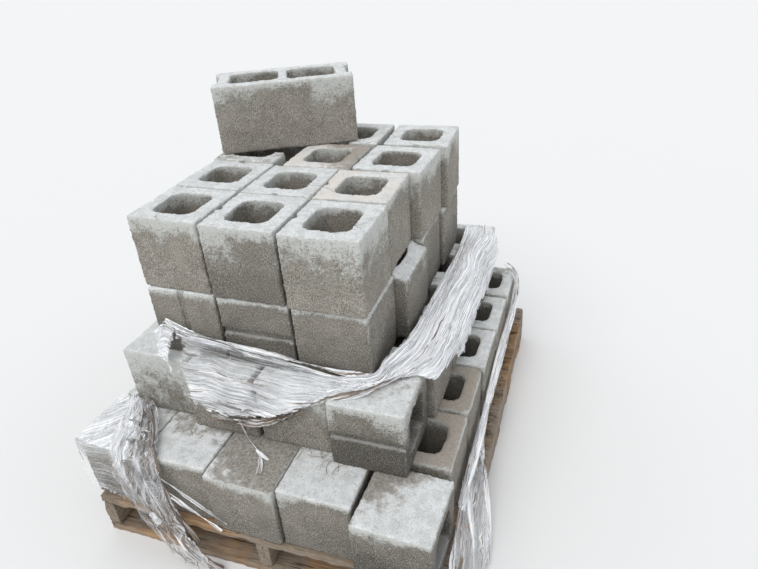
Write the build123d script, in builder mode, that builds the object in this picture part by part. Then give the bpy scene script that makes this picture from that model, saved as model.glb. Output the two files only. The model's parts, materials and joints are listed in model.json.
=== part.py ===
"""A wooden pallet loaded with four stepped tiers of concrete half blocks and one
full block on top, with the torn remains of its stretch film.

The origin is the middle of the pallet's underside. X runs along the deck boards,
Y along the stringers, away from the load's front, and Z is up."""
import os
from math import cos, radians, sin

from build123d import *

# Half blocks: cubes of a nominal 8 in, less the mortar joint
BLOCK = 193.7
CORE_WIDTH = 116.0
CORE_DEPTH = 114.0
CORE_CORNER = 25.0
CORE_FLARE = 4.0
GROOVE_WIDTH = 17.0
GROOVE_DEPTH = 10.0
NOSE_RADIUS = 25.0

# The full block, with two cores and hollow ends
FULL_LENGTH = 396.9
FULL_CORE_LENGTH = 138.0
FULL_CORE_DEPTH = 128.0
FULL_CORE_CORNER = 20.0
MIDDLE_WEB = 27.0
END_HOLLOW_WIDTH = 112.0
END_HOLLOW_DEPTH = 13.0

# The pallet, 48 by 40 in, with the stringers along Y
PALLET_WIDTH = 1016.0
PALLET_LENGTH = 1219.0
STRINGER_WIDTH = 38.0
STRINGER_HEIGHT = 89.0
BOARD_WIDTH = 140.0
DECK_THICKNESS = 25.0
TOP_BOARDS = 7
BOTTOM_BOARDS = 5

# The stretch film, thick enough here to be a solid
FILM = 1.5
FILM_GAP = 0.3
FILM_DROP = 100.0
ROPE_RADIUS = 8.0
ROPE_SIDES = 8
FALL_WIDTH = 150.0
FAN_WIDTH = 320.0
FLOOR_GAP = 5.0

DECK_TOP = DECK_THICKNESS + STRINGER_HEIGHT + DECK_THICKNESS
HALF = BLOCK / 2

# How many blocks each tier has across and deep, from the bottom up, its front left
# corner, and the joints left open between its blocks
TIER_COUNTS = {
    "bottom_tier": (5, 6),
    "second_tier": (4, 5),
    "third_tier": (3, 4),
    "top_tier": (3, 4),
}
TIER_CORNERS = {
    "bottom_tier": (-518.0, -593.5),
    "second_tier": (-442.0, -456.5),
    "third_tier": (-330.0, -394.5),
    "top_tier": (-336.0, -397.5),
}
TIER_JOINTS = {
    "bottom_tier": (4.0, 2.6),
    "second_tier": (10.8, 2.1),
    "third_tier": (6.3, 5.0),
    "top_tier": (9.0, 5.0),
}

# How far the blocks lie off that grid, as (row, column): (right, back, degrees turned)
SHIFTS = {
    "bottom_tier": {
        (1, 2): (-3, 1, 0), (1, 3): (-5, -15, -0.8), (1, 4): (-5, -8, 0),
        (1, 5): (0, -48, -2.3),
        (2, 2): (-1, 0, 0), (2, 3): (-3, 0, 0), (2, 4): (-6, 0, 0),
        (2, 5): (-8, -29, 0),
        (3, 3): (-2, 0, 0), (3, 4): (-4, 0, 0), (3, 5): (-6, -23, 0),
        (4, 5): (0, -19, 0), (5, 5): (3, -18, 0), (6, 5): (6, -5, 0),
    },
    "second_tier": {
        (1, 1): (-3, 30, 0), (1, 3): (2, 0, 0), (1, 4): (0, -26, 0),
        (2, 1): (0, 31, 0), (2, 4): (16, -9, 0),
        (3, 1): (0, 31, 0), (3, 4): (16, 0, 0),
        (4, 1): (0, 31, 0), (4, 4): (16, 0, 0),
        (5, 1): (0, 31, 0), (5, 4): (33, 0, 0),
    },
    "third_tier": {
        (2, 2): (5, 0, 0), (2, 3): (31, 1, 0), (3, 2): (4, 0, 0), (3, 3): (17, 0, 0),
        (4, 2): (9, 0, 0), (4, 3): (28, 0, 0),
    },
    "top_tier": {
        (1, 1): (0, 10, -0.8), (1, 2): (0, 0, -0.3), (1, 3): (0, -7, 0.6),
        (2, 1): (1, 9, -0.8), (2, 2): (0, -4, 0.4), (2, 3): (-5, -7, 1.3),
        (3, 1): (-8, 10, -1.0), (3, 2): (20, -5, -0.2), (3, 3): (18, 4, -2.3),
        (4, 1): (14, 11, 0.5), (4, 2): (29, 5, 1.0), (4, 3): (40, 7, 3.0),
    },
}

# The full block lies across the third and fourth rows of the top tier
FULL_CORNER = (-324.0, 37.5)
FULL_TURN = 26.6

# How a block lies. Its groove is at the front until it is turned: standing blocks have
# their core upright, and lying ones have it along X
STANDING = (0, 0, 0)
GROOVE_LEFT = (0, 0, -90)
GROOVE_RIGHT = (0, 0, 90)
GROOVE_BACK = (0, 0, 180)
LYING = (0, 90, 0)


def tier_foot(tier):
    """The height of a tier's underside."""
    return DECK_TOP + list(TIER_COUNTS).index(tier) * BLOCK


def spot(tier, row, column):
    """A block's front left corner and its turn."""
    left, front = TIER_CORNERS[tier]
    joint_x, joint_y = TIER_JOINTS[tier]
    right, back, turn = SHIFTS[tier].get((row, column), (0, 0, 0))
    x = left + (column - 1) * (BLOCK + joint_x) + right
    y = front + (row - 1) * (BLOCK + joint_y) + back
    return x, y, turn


def middle_of(x, y, turn, length, depth):
    """The plan centre of a block that is turned about its front left corner."""
    a = radians(turn)
    return (x + (length * cos(a) - depth * sin(a)) / 2,
            y + (length * sin(a) + depth * cos(a)) / 2)


def place_of(tier, row, column):
    """Where the centre of a half block comes to lie."""
    x, y, turn = spot(tier, row, column)
    across, deep = middle_of(x, y, turn, BLOCK, BLOCK)
    return Location((across, deep, tier_foot(tier) + HALF), (0, 0, turn))


def export(part, name):
    part.label = name
    export_step(part, f"parts/{name}.step")


def core(width, depth, corner):
    """What a core takes out of a block. It widens a little downwards."""
    with BuildPart() as hole:
        with BuildSketch(Plane.XY.offset(HALF)):
            RectangleRounded(width, depth, corner)
        with BuildSketch(Plane.XY.offset(-HALF)):
            RectangleRounded(width + CORE_FLARE, depth + CORE_FLARE, corner)
        loft()
    return hole.part


def half_block(grooved=False, nosed=False, hidden_core=False):
    """A cube with one core that widens downwards, or a plain square one where it can't
    be seen. Sash blocks have a groove down the middle of one face, and a bullnose block
    has its two right edges rounded."""
    with BuildPart() as block:
        Box(BLOCK, BLOCK, BLOCK)
        if nosed:
            right_edges = block.edges().filter_by(Axis.Z).group_by(Axis.X)[-1]
            fillet(right_edges, NOSE_RADIUS)
        if hidden_core:
            Box(CORE_WIDTH, CORE_DEPTH, BLOCK, mode=Mode.SUBTRACT)
        else:
            add(core(CORE_WIDTH, CORE_DEPTH, CORE_CORNER), mode=Mode.SUBTRACT)
        if grooved:
            with BuildSketch(Plane.XY.offset(-HALF)):
                with Locations((0, GROOVE_DEPTH - HALF)):
                    Rectangle(GROOVE_WIDTH, GROOVE_DEPTH, align=(Align.CENTER, Align.MAX))
            extrude(amount=BLOCK, mode=Mode.SUBTRACT)
    return block.part


def full_block():
    """A block of two cores whose ends are hollowed between the face shells."""
    with BuildPart() as block:
        Box(FULL_LENGTH, BLOCK, BLOCK)
        with GridLocations(FULL_CORE_LENGTH + MIDDLE_WEB, 0, 2, 1):
            add(core(FULL_CORE_LENGTH, FULL_CORE_DEPTH, FULL_CORE_CORNER),
                mode=Mode.SUBTRACT)
        with BuildSketch(Plane.XY.offset(-HALF)):
            with Locations((-FULL_LENGTH / 2, 0)):
                Trapezoid(END_HOLLOW_WIDTH, END_HOLLOW_DEPTH, 60, rotation=-90,
                          align=(Align.CENTER, Align.MIN))
            mirror(about=Plane.YZ)
        extrude(amount=BLOCK, mode=Mode.SUBTRACT)
    return block.part


def broken_end_block():
    """A half block whose back has broken off from side to side."""
    with BuildPart() as block:
        add(half_block(grooved=True))
        with BuildSketch(Plane.XY.offset(-HALF)):
            with BuildLine():
                Polyline((-HALF - 1, 0.30 * BLOCK), (-0.28 * BLOCK, 0.24 * BLOCK),
                         (0.05 * BLOCK, 0.08 * BLOCK), (0.36 * BLOCK, -0.04 * BLOCK),
                         (HALF + 1, -0.08 * BLOCK), (HALF + 1, HALF + 1),
                         (-HALF - 1, HALF + 1), close=True)
            make_face()
        extrude(amount=BLOCK, mode=Mode.SUBTRACT)
    return block.part


def chipped_block():
    """A half block whose upper right edge has broken away."""
    with BuildPart() as block:
        add(half_block(hidden_core=True))
        with BuildSketch(Plane.XZ.offset(-HALF)):
            with BuildLine():
                Polyline((0.30 * BLOCK, HALF + 1), (0.32 * BLOCK, 0.46 * BLOCK),
                         (0.44 * BLOCK, 0.42 * BLOCK), (HALF + 1, 0.40 * BLOCK),
                         (HALF + 1, HALF + 1), close=True)
            make_face()
        extrude(amount=BLOCK, mode=Mode.SUBTRACT)
    return block.part


def build_pallet():
    """Three stringers, with boards across them above and below."""
    names = ("left", "middle", "right")
    reach = (PALLET_WIDTH - STRINGER_WIDTH) / 2
    for name, x in zip(names, (-reach, 0, reach)):
        with BuildPart() as stringer:
            with Locations((x, 0, DECK_THICKNESS)):
                Box(STRINGER_WIDTH, PALLET_LENGTH, STRINGER_HEIGHT,
                    align=(Align.CENTER, Align.CENTER, Align.MIN))
        export(stringer.part, f"pallet_{name}_stringer")
    rows = (("top", TOP_BOARDS, DECK_TOP - DECK_THICKNESS), ("bottom", BOTTOM_BOARDS, 0))
    for kind, count, foot in rows:
        pitch = (PALLET_LENGTH - BOARD_WIDTH) / (count - 1)
        for number in range(count):
            y = number * pitch - (PALLET_LENGTH - BOARD_WIDTH) / 2
            with BuildPart() as board:
                with Locations((0, y, foot)):
                    Box(PALLET_WIDTH, BOARD_WIDTH, DECK_THICKNESS,
                        align=(Align.CENTER, Align.CENTER, Align.MIN))
            export(board.part, f"pallet_{kind}_board_{number + 1}")


def build_blocks(name, tier, row, columns, block_in, pose_in):
    """One node of a tier: blocks of a row, which don't touch each other."""
    with BuildPart() as blocks:
        for column in columns:
            with Locations(place_of(tier, row, column)):
                add(block_in(row, column), rotation=pose_in(row, column))
    export(blocks.part, name)


def build_tier(tier, block_in, pose_in, row_name, row_column):
    """A node for each row of a tier, but for one block of another kind, in its own."""
    columns, rows = TIER_COUNTS[tier]
    for row in range(1, rows + 1):
        like = [c for c in range(1, columns + 1) if (row, c) != row_column]
        build_blocks(f"{tier}_row_{row}_blocks", tier, row, like, block_in, pose_in)
    row, column = row_column
    build_blocks(f"{tier}_{row_name}", tier, row, (column,), block_in, pose_in)


def inside(tier, row, column):
    """Whether a block's core is out of sight: it stands inside its tier, or it lies in
    the front row, closed by the blocks to its left and right."""
    columns, rows = TIER_COUNTS[tier]
    return row < rows and 1 < column < columns


def build_bottom_tier(plain, nosed, inner):
    """The front row lies on its side, and the rest stand."""
    def block(row, column):
        if (row, column) == (3, 5):
            return nosed
        return inner if inside("bottom_tier", row, column) else plain

    def pose(row, column):
        return LYING if row == 1 else STANDING

    build_tier("bottom_tier", block, pose, "bullnose_block", (3, 5))


def build_second_tier(plain, sash, inner):
    """The front row lies on its side. Its right block shows its groove."""
    def block(row, column):
        if (row, column) == (1, 4):
            return sash
        return inner if inside("second_tier", row, column) else plain

    def pose(row, column):
        return LYING if row == 1 else STANDING

    build_tier("second_tier", block, pose, "corner_sash_block", (1, 4))


def build_third_tier(inner, sash, chipped):
    """It stands right under the top tier. The front row's first two blocks show their
    grooves."""
    def block(row, column):
        if (row, column) == (2, 3):
            return chipped
        return sash if row == 1 and column < 3 else inner

    def pose(row, column):
        return LYING if (row, column) == (1, 2) else STANDING

    build_tier("third_tier", block, pose, "chipped_block", (2, 3))


def build_top_tier(sash, broken):
    """Standing blocks, each a node of its own, whose grooves face this way and that."""
    grooves = {(1, 1): GROOVE_LEFT, (1, 2): GROOVE_LEFT, (1, 3): GROOVE_LEFT,
               (2, 1): GROOVE_BACK, (2, 3): GROOVE_LEFT, (3, 2): GROOVE_RIGHT}

    def block(row, column):
        return broken if (row, column) == (3, 1) else sash

    def pose(row, column):
        return grooves.get((row, column), STANDING)

    columns, rows = TIER_COUNTS["top_tier"]
    for row in range(1, rows + 1):
        for column in range(1, columns + 1):
            side = ("left", "middle", "right")[column - 1]
            name = "broken_block" if (row, column) == (3, 1) else f"row_{row}_{side}_block"
            build_blocks(f"top_tier_{name}", "top_tier", row, (column,), block, pose)


def build_full_block():
    """It rests on the top tier, turned across two rows."""
    across, deep = middle_of(*FULL_CORNER, FULL_TURN, FULL_LENGTH, BLOCK)
    height = tier_foot("top_tier") + BLOCK + HALF
    with BuildPart() as block:
        with Locations(Location((across, deep, height), (0, 0, FULL_TURN))):
            add(full_block())
    export(block.part, "two_core_block")


def build_upper_film():
    """A torn band across the front of the second tier, and a sheet up its right side."""
    top = tier_foot("third_tier") + FILM_GAP
    front = spot("second_tier", 1, 2)[1] - FILM_GAP
    corner_left, corner_front, _ = spot("second_tier", 1, 4)
    step_back = spot("third_tier", 1, 1)[1] - 3.0
    band_left = spot("second_tier", 1, 2)[0] - 0.27 * BLOCK
    band_right = corner_left - 3.0
    wall = spot("third_tier", 2, 3)[0] + BLOCK + 4.0
    side = spot("second_tier", 3, 4)[0] + BLOCK + FILM_GAP
    side_end = spot("second_tier", 4, 4)[1]
    last_left, last_front, _ = spot("second_tier", 5, 4)
    last = last_left + BLOCK + FILM_GAP
    back = last_front + BLOCK + FILM_GAP
    with BuildPart() as film:
        with BuildSketch(Plane.XY.offset(top)):
            with BuildLine():
                Polyline((band_left, front - FILM), (band_right, front - FILM),
                         (band_right + 0.31 * BLOCK, corner_front + 5),
                         (band_right + 0.72 * BLOCK, corner_front + 5),
                         (band_right + 0.98 * BLOCK, corner_front + 0.26 * BLOCK),
                         (side + FILM, corner_front + 0.98 * BLOCK),
                         (side + FILM, side_end),
                         (last + FILM, last_front), (last + FILM, back + FILM),
                         (wall, back + FILM), (wall, step_back), (band_left, step_back),
                         close=True)
            make_face()
        extrude(amount=FILM)
        with BuildSketch(Plane.XZ.offset(-front)):
            with BuildLine():
                Polyline((band_left, top + FILM), (band_right, top + FILM),
                         (band_right, top - 0.06 * BLOCK),
                         (band_right - 0.40 * BLOCK, top - 0.28 * BLOCK),
                         (band_right - BLOCK, top - 0.64 * BLOCK),
                         (band_right - 1.76 * BLOCK, top - 0.82 * BLOCK),
                         (band_left, top - 0.61 * BLOCK), close=True)
            make_face()
        extrude(amount=FILM)
        with BuildSketch(Plane.XY.offset(top + FILM)):
            with BuildLine():
                Polyline((side, corner_front + BLOCK), (side, side_end),
                         (last, last_front), (last, back), (wall, back),
                         (wall, back + FILM), (last + FILM, back + FILM),
                         (last + FILM, last_front), (side + FILM, side_end),
                         (side + FILM, corner_front + BLOCK), close=True)
            make_face()
        extrude(amount=-FILM_DROP)
    export(film.part, "upper_stretch_film")


def build_left_film():
    """The film over the bottom tier's front left corner, which falls to the floor."""
    top = tier_foot("second_tier") + FILM_GAP
    left, corner_front, _ = spot("bottom_tier", 1, 1)
    front = min(corner_front, spot("bottom_tier", 1, 2)[1]) - FILM_GAP
    left = left - FILM_GAP
    step_left, step_front, _ = spot("second_tier", 1, 1)
    film_back = spot("second_tier", 2, 1)[1] - 0.41 * BLOCK
    fall_front = min(front, -PALLET_LENGTH / 2) - 12
    with BuildPart() as film:
        with BuildSketch(Plane.XY.offset(top)):
            with BuildLine():
                Polyline((left - FILM, front - FILM), (left + 1.28 * BLOCK, front - FILM),
                         (left + 0.98 * BLOCK, front + 0.31 * BLOCK),
                         (step_left + 0.31 * BLOCK, step_front - 3),
                         (step_left - 3, step_front - 3), (step_left - 3, film_back),
                         (left - FILM, film_back), close=True)
            make_face()
        extrude(amount=FILM)
        with BuildSketch(Plane.XZ.offset(-front)):
            with BuildLine():
                Polyline((left - FILM, top + FILM), (left + 1.28 * BLOCK, top + FILM),
                         (left + 0.67 * BLOCK, top - 0.92 * BLOCK),
                         (left - FILM, top - 0.72 * BLOCK), close=True)
            make_face()
        extrude(amount=FILM)
        with BuildSketch(Plane.XY.offset(top + FILM)):
            with Locations((left + 0.89 * BLOCK, front - FILM / 2)):
                Rectangle(FALL_WIDTH, FILM)
        with BuildSketch(Plane.XY.offset(DECK_TOP + 3)):
            with Locations((left + 1.65 * BLOCK, fall_front)):
                Rectangle(0.84 * FALL_WIDTH, FILM)
        with BuildSketch(Plane.XY.offset(FLOOR_GAP)):
            with Locations((left + 2.17 * BLOCK, fall_front - 18)):
                Rectangle(0.73 * FALL_WIDTH, FILM)
        loft(ruled=True)
        with BuildSketch(Plane.YZ.offset(left)):
            with BuildLine():
                Polyline((front - FILM, top + FILM), (film_back, top + FILM),
                         (film_back - 10, top - 0.31 * BLOCK),
                         (front + 0.31 * BLOCK, top - 0.62 * BLOCK),
                         (front - FILM, top - 0.72 * BLOCK), close=True)
            make_face()
        extrude(amount=-FILM)
    export(film.part, "lower_left_stretch_film")


def build_right_film():
    """The film gathered into a rope along the right side, whose end fans out."""
    top = tier_foot("second_tier")
    side = spot("bottom_tier", 6, 5)[0] + BLOCK + ROPE_RADIUS + FILM_GAP
    front = spot("bottom_tier", 2, 5)[1] + 0.31 * BLOCK
    back = spot("bottom_tier", 6, 5)[1] + 0.49 * BLOCK
    over_edge = max(side, PALLET_WIDTH / 2) + 2 * FILM + 1
    with BuildPart() as film:
        with BuildLine() as route:
            Polyline((side, front, top - 0.70 * BLOCK),
                     (side, 0.65 * front + 0.35 * back, top - 0.61 * BLOCK),
                     (side, 0.27 * front + 0.73 * back, top - 0.49 * BLOCK),
                     (side, back, top - 0.21 * BLOCK),
                     (side, back + 0.09 * BLOCK, top + 0.11 * BLOCK),
                     (side - 0.21 * BLOCK, back + 0.12 * BLOCK, top + 0.31 * BLOCK))
        with BuildSketch(Plane(origin=route.line @ 0, z_dir=route.line % 0)):
            RegularPolygon(ROPE_RADIUS, ROPE_SIDES)
        sweep(transition=Transition.RIGHT)
        with BuildSketch(Plane.XY.offset(top - 0.67 * BLOCK)):
            with Locations((side, front + 10)):
                Rectangle(2 * FILM, 0.13 * FAN_WIDTH)
        with BuildSketch(Plane.XY.offset(DECK_TOP + 3)):
            with Locations((over_edge, front - 16)):
                Rectangle(2 * FILM, 0.41 * FAN_WIDTH)
        with BuildSketch(Plane.XY.offset(FLOOR_GAP)):
            with Locations((over_edge + 58, front - 70)):
                Rectangle(2 * FILM, FAN_WIDTH)
        loft(ruled=True)
    export(film.part, "lower_right_stretch_film")


os.makedirs("parts", exist_ok=True)
plain_block = half_block()
sash_block = half_block(grooved=True)
inner_block = half_block(hidden_core=True)
inner_sash_block = half_block(grooved=True, hidden_core=True)
build_pallet()
build_bottom_tier(plain_block, half_block(nosed=True), inner_block)
build_second_tier(plain_block, sash_block, inner_block)
build_third_tier(inner_block, inner_sash_block, chipped_block())
build_top_tier(sash_block, broken_end_block())
build_full_block()
build_upper_film()
build_left_film()
build_right_film()
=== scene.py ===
"""A wooden pallet of weathered concrete blocks in stepped tiers, one full block laid
askew on top, and what is left of the stretch film round them."""

import json
from math import cos, pi, radians, sin

import bmesh
import bpy
import numpy as np
from mathutils import Matrix, Vector

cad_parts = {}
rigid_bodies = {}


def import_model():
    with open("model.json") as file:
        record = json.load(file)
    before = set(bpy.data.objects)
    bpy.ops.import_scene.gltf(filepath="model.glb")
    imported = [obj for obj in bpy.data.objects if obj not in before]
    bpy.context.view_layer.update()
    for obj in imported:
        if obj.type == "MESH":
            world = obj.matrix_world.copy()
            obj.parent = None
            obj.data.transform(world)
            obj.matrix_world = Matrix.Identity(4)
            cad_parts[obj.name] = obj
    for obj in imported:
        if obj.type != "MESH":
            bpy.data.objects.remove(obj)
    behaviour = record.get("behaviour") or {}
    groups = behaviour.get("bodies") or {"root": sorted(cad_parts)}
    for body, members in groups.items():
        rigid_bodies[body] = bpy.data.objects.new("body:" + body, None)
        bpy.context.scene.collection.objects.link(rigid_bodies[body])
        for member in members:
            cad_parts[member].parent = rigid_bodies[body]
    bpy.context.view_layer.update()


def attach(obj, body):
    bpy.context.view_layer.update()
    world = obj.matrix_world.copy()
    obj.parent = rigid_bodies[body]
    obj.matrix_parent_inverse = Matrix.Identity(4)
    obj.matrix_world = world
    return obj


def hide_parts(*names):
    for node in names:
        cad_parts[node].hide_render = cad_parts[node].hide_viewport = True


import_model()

MM = 0.001

# The camera that fits the photo: its place in metres, then yaw, pitch down and roll
CAMERA_PLACE = (0.6900, -1.4252, 1.4730)
CAMERA_ANGLES = (-20.93, 30.91, 4.19)
SENSOR_WIDTH = 36.0
FOCAL_LENGTH = 28.84

# Half blocks and the full block, in millimetres
BLOCK = 193.7
HALF = BLOCK / 2
CORE = (116.0, 114.0, 25.0)
CORE_FLARE = 4.0
GROOVE = (17.0, 10.0)
NOSE_RADIUS = 25.0
FULL_LENGTH = 396.9
FULL_CORE = (138.0, 128.0, 20.0)
MIDDLE_WEB = 27.0
END_HOLLOW = (112.0, 13.0, 97.0)
FULL_CORNER = (-324.0, 37.5)
FULL_TURN = 26.6

# How far a tool that breaks a block reaches past it
PAST = HALF + 9

# The pallet, in millimetres, and how often its timbers are divided along x, y and z
DECK_TOP = 139.0
PALLET_WIDTH = 1016.0
PALLET_LENGTH = 1219.0
STRINGER_WIDTH = 38.0
STRINGER_HEIGHT = 89.0
STRINGER_LOOPS = (5, 90, 9)
BOARD_WIDTH = 140.0
BOARD_THICKNESS = 25.0
BOARD_LOOPS = (76, 12, 4)
BOARD_COUNTS = {"top": 7, "bottom": 5}
NAIL_SPOTS = (-44, -4, 41)
NAIL_STAGGER = 3
NAIL_SUNK = 0.6

# Tiers from the bottom up: blocks across and deep, front left corner, open joints, and
# weathering: dirt as (towards the right, towards the back, share of the top), whose lean
# towards the back also paints the shade of the tier above, frosty for how far the white
# runs down, and how damp they look, which also paints shade, most on the lower tiers'
# fronts and sides
TIERS = {
    "bottom_tier": {"count": (5, 6), "corner": (-518.0, -593.5), "joints": (4.0, 2.6),
                    "dirt": (0, 0.4, 0.30), "frosty": 0.35, "damp": 1.15},
    "second_tier": {"count": (4, 5), "corner": (-442.0, -456.5), "joints": (10.8, 2.1),
                    "dirt": (0, 0.3, 0.24), "frosty": 0.7, "damp": 0.65},
    "third_tier": {"count": (3, 4), "corner": (-330.0, -394.5), "joints": (6.3, 5.0),
                   "dirt": (0, 0.2, 0.24), "frosty": 0.15, "damp": 1.55},
    "top_tier": {"count": (3, 4), "corner": (-336.0, -397.5), "joints": (9.0, 5.0),
                 "dirt": (0, 0, 0.06), "frosty": 0.9, "damp": 0.15},
}

# How far the blocks lie off that grid, as (row, column): (right, back, degrees turned)
SHIFTS = {
    "bottom_tier": {
        (1, 2): (-3, 1, 0), (1, 3): (-5, -15, -0.8), (1, 4): (-5, -8, 0),
        (1, 5): (0, -48, -2.3),
        (2, 2): (-1, 0, 0), (2, 3): (-3, 0, 0), (2, 4): (-6, 0, 0),
        (2, 5): (-8, -29, 0),
        (3, 3): (-2, 0, 0), (3, 4): (-4, 0, 0), (3, 5): (-6, -23, 0),
        (4, 5): (0, -19, 0), (5, 5): (3, -18, 0), (6, 5): (6, -5, 0),
    },
    "second_tier": {
        (1, 1): (-3, 30, 0), (1, 3): (2, 0, 0), (1, 4): (0, -26, 0),
        (2, 1): (0, 31, 0), (2, 4): (16, -9, 0),
        (3, 1): (0, 31, 0), (3, 4): (16, 0, 0),
        (4, 1): (0, 31, 0), (4, 4): (16, 0, 0),
        (5, 1): (0, 31, 0), (5, 4): (33, 0, 0),
    },
    "third_tier": {
        (2, 2): (5, 0, 0), (2, 3): (31, 1, 0), (3, 2): (4, 0, 0), (3, 3): (17, 0, 0),
        (4, 2): (9, 0, 0), (4, 3): (28, 0, 0),
    },
    "top_tier": {
        (1, 1): (0, 10, -0.8), (1, 2): (0, 0, -0.3), (1, 3): (0, -7, 0.6),
        (2, 1): (1, 9, -0.8), (2, 2): (0, -4, 0.4), (2, 3): (-5, -7, 1.3),
        (3, 1): (-8, 10, -1.0), (3, 2): (20, -5, -0.2), (3, 3): (18, 4, -2.3),
        (4, 1): (14, 11, 0.5), (4, 2): (29, 5, 1.0), (4, 3): (40, 7, 3.0),
    },
}

# The turn of a top block's groove, which is at the front in a block as it is made
GROOVE_TURNS = {(1, 1): -90, (1, 2): -90, (1, 3): -90, (2, 1): 180, (2, 3): -90, (3, 2): 90}

# Blocks that differ from their tier, as (row, column): in kind, in their CAD node or in
# their weathering and painted shade, where warm is how cream a top has become
BLOCKS = {
    "bottom_tier": {
        (1, 2): {"dirt": (0.2, 0.6, 0.36)},
        (1, 3): {"dirt": (0.5, 0.5, 0.84)},
        (1, 4): {"dirt": (-0.1, 1.0, 0.22)},
        (1, 5): {"dirt": (-0.9, 0.7, 0.28), "damp": 2.4},
        (2, 5): {"dirt": (0, 0, 0.9), "warm": 1.0},
        (3, 5): {"dirt": (0, 0, 0.9), "warm": 1.0, "kind": "bullnose",
                 "node": "bottom_tier_bullnose_block"},
        (4, 5): {"dirt": (0, 0, 0.05)},
        (5, 5): {"dirt": (0, 0, 0.12)},
    },
    "second_tier": {
        (1, 1): {"dirt": (0, 0, 0.04), "frosty": 5.0},
        (1, 4): {"dirt": (-0.2, 0.8, 0.46), "frosty": 0.75, "damp": 2.4, "kind": "sash",
                 "node": "second_tier_corner_sash_block"},
    },
    "third_tier": {
        (1, 2): {"damp": 2.3},
        (2, 3): {"dirt": (0, 0, 0.06), "frosty": 1.0, "kind": "chipped",
                 "node": "third_tier_chipped_block"},
    },
    "top_tier": {
        (1, 1): {"frosty": 0.8, "damp": 0.3},
        (1, 2): {"frosty": 1.3, "damp": 1.3},
        (1, 3): {"frosty": 2.1},
        (2, 3): {"frosty": 0.5, "warm": 1.0},
        (3, 1): {"dirt": (0, 0, 0.42), "kind": "broken", "node": "top_tier_broken_block"},
        (3, 2): {"dirt": (0.9, 0.2, 0.44), "warm": 0.9},
        (3, 3): {"frosty": 1.6},
        (4, 3): {"frosty": 1.2},
    },
}

KINDS = ("plain", "sash", "bullnose", "broken", "chipped", "inner", "full")

# The mesh of a block: its voxels in millimetres, the share of triangles that is kept, and
# how often it is smoothed to find its arrises and its corners. A point's arris value is
# how many metres it is drawn in by the first, times a scale.
VOXEL = 3.6
KEPT = 0.21
WEAR_LOOPS = 4
CHIP_LOOPS = 22
ARRIS_SCALE = 500.0

# Edges sharper than this, in degrees, are shaded sharp
SHARP_CONCRETE = 38
SHARP_TIMBER = 50

# Points round each rounded corner
CORNER_POINTS = 6

# Heaps of dry stems, in millimetres: middle, spread, how many, shortest and longest
HEAPS = [
    ((150, -476, 335), (70, 10, 1), 14, (18, 50)),
    ((262, -468, 335), (26, 14, 1), 10, (14, 36)),
    ((480, -235, 150), (9, 90, 16), 30, (25, 70)),
    ((-250, -480, 335), (60, 10, 1), 6, (12, 30)),
]
STEM_PARTS = 7

# How far a layer of film's pattern lies from the last one's, along and across it
WEAVE_STEP = (7.3, 1.7)

# Shares of a film's size: the frayed margins along its long edges and at its ends, and
# the edges that have rolled up and so look thicker
FRAYED_ACROSS = 0.05
FRAYED_ALONG = 0.01
ROLLED_EDGE = 0.035

# Film as rows of points in millimetres, from its upper edge down, one row for each
# station along it
UPPER_FILM = [
    [(-323, -428, 611), (-320, -428, 586), (-322, -424, 556), (-327, -419, 530), (-326, -424, 527)],
    [(-302, -414, 628), (-304, -420, 590), (-306, -424, 556), (-308, -428, 531), (-304, -436, 528)],
    [(-286, -410, 636), (-284, -420, 590), (-283, -432, 552), (-280, -446, 530), (-275, -460, 518)],
    [(-262, -404, 616), (-262, -418, 580), (-262, -438, 545), (-264, -461, 500), (-270, -463, 440)],
    [(-225, -401, 606), (-225, -414, 572), (-228, -438, 542), (-240, -461, 490), (-258, -464, 396)],
    [(-165, -400, 597), (-166, -412, 566), (-168, -436, 540), (-172, -461, 480), (-178, -464, 388)],
    [(-83, -400, 583), (-84, -412, 556), (-85, -440, 535), (-88, -461, 470), (-92, -464, 392)],
    [(0, -400, 574), (0, -412, 550), (0, -440, 533), (-4, -461, 478), (-8, -464, 408)],
    [(78, -400, 567), (80, -404, 550), (86, -432, 533), (90, -461, 505), (90, -464, 464)],
    [(156, -400, 553), (164, -403, 541), (172, -425, 532), (182, -448, 531), (190, -466, 530)],
    [(215, -400, 557), (222, -403, 541), (232, -410, 532), (242, -420, 531), (250, -430, 530)],
    [(262, -386, 566), (268, -387, 548), (280, -383, 533), (292, -378, 531), (304, -372, 530)],
    [(270, -350, 577), (285, -345, 551), (306, -345, 533), (336, -345, 531), (367, -345, 529)],
    [(299, -282, 587), (313, -285, 553), (337, -290, 534), (374, -305, 528), (394, -316, 493)],
    [(301, -200, 566), (318, -190, 543), (352, -175, 534), (387, -155, 502), (399, -143, 434)],
    [(302, -90, 546), (323, -80, 536), (360, -70, 533), (391, -60, 462), (402, -50, 362)],
    [(303, 0, 537), (326, 10, 534), (362, 25, 533), (391, 35, 466), (404, 47, 367)],
    [(309, 150, 535), (331, 150, 534), (366, 150, 533), (392, 160, 466), (405, 180, 364)],
    [(310, 236, 534), (336, 240, 534), (368, 260, 533), (396, 280, 466), (408, 300, 357)],
    [(307, 380, 536), (336, 390, 534), (382, 400, 533), (406, 410, 472), (409, 425, 395)],
    [(300, 480, 560), (326, 490, 545), (381, 500, 535), (406, 508, 490), (409, 512, 430)],
]
LEFT_COVER = [
    [(-521, -400, 306), (-522, -402, 335), (-500, -404, 338), (-484, -405, 341), (-468, -406, 346)],
    [(-523, -450, 276), (-523, -450, 335), (-495, -455, 338), (-465, -460, 340), (-440, -465, 343)],
    [(-525, -510, 236), (-524, -510, 335), (-490, -515, 338), (-455, -522, 339), (-415, -528, 341)],
    [(-527, -560, 200), (-525, -562, 334), (-480, -568, 338), (-440, -572, 338), (-395, -578, 339)],
    [(-528, -592, 170), (-526, -597, 331), (-480, -598, 335), (-430, -599, 334), (-385, -600, 333)],
]
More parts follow.
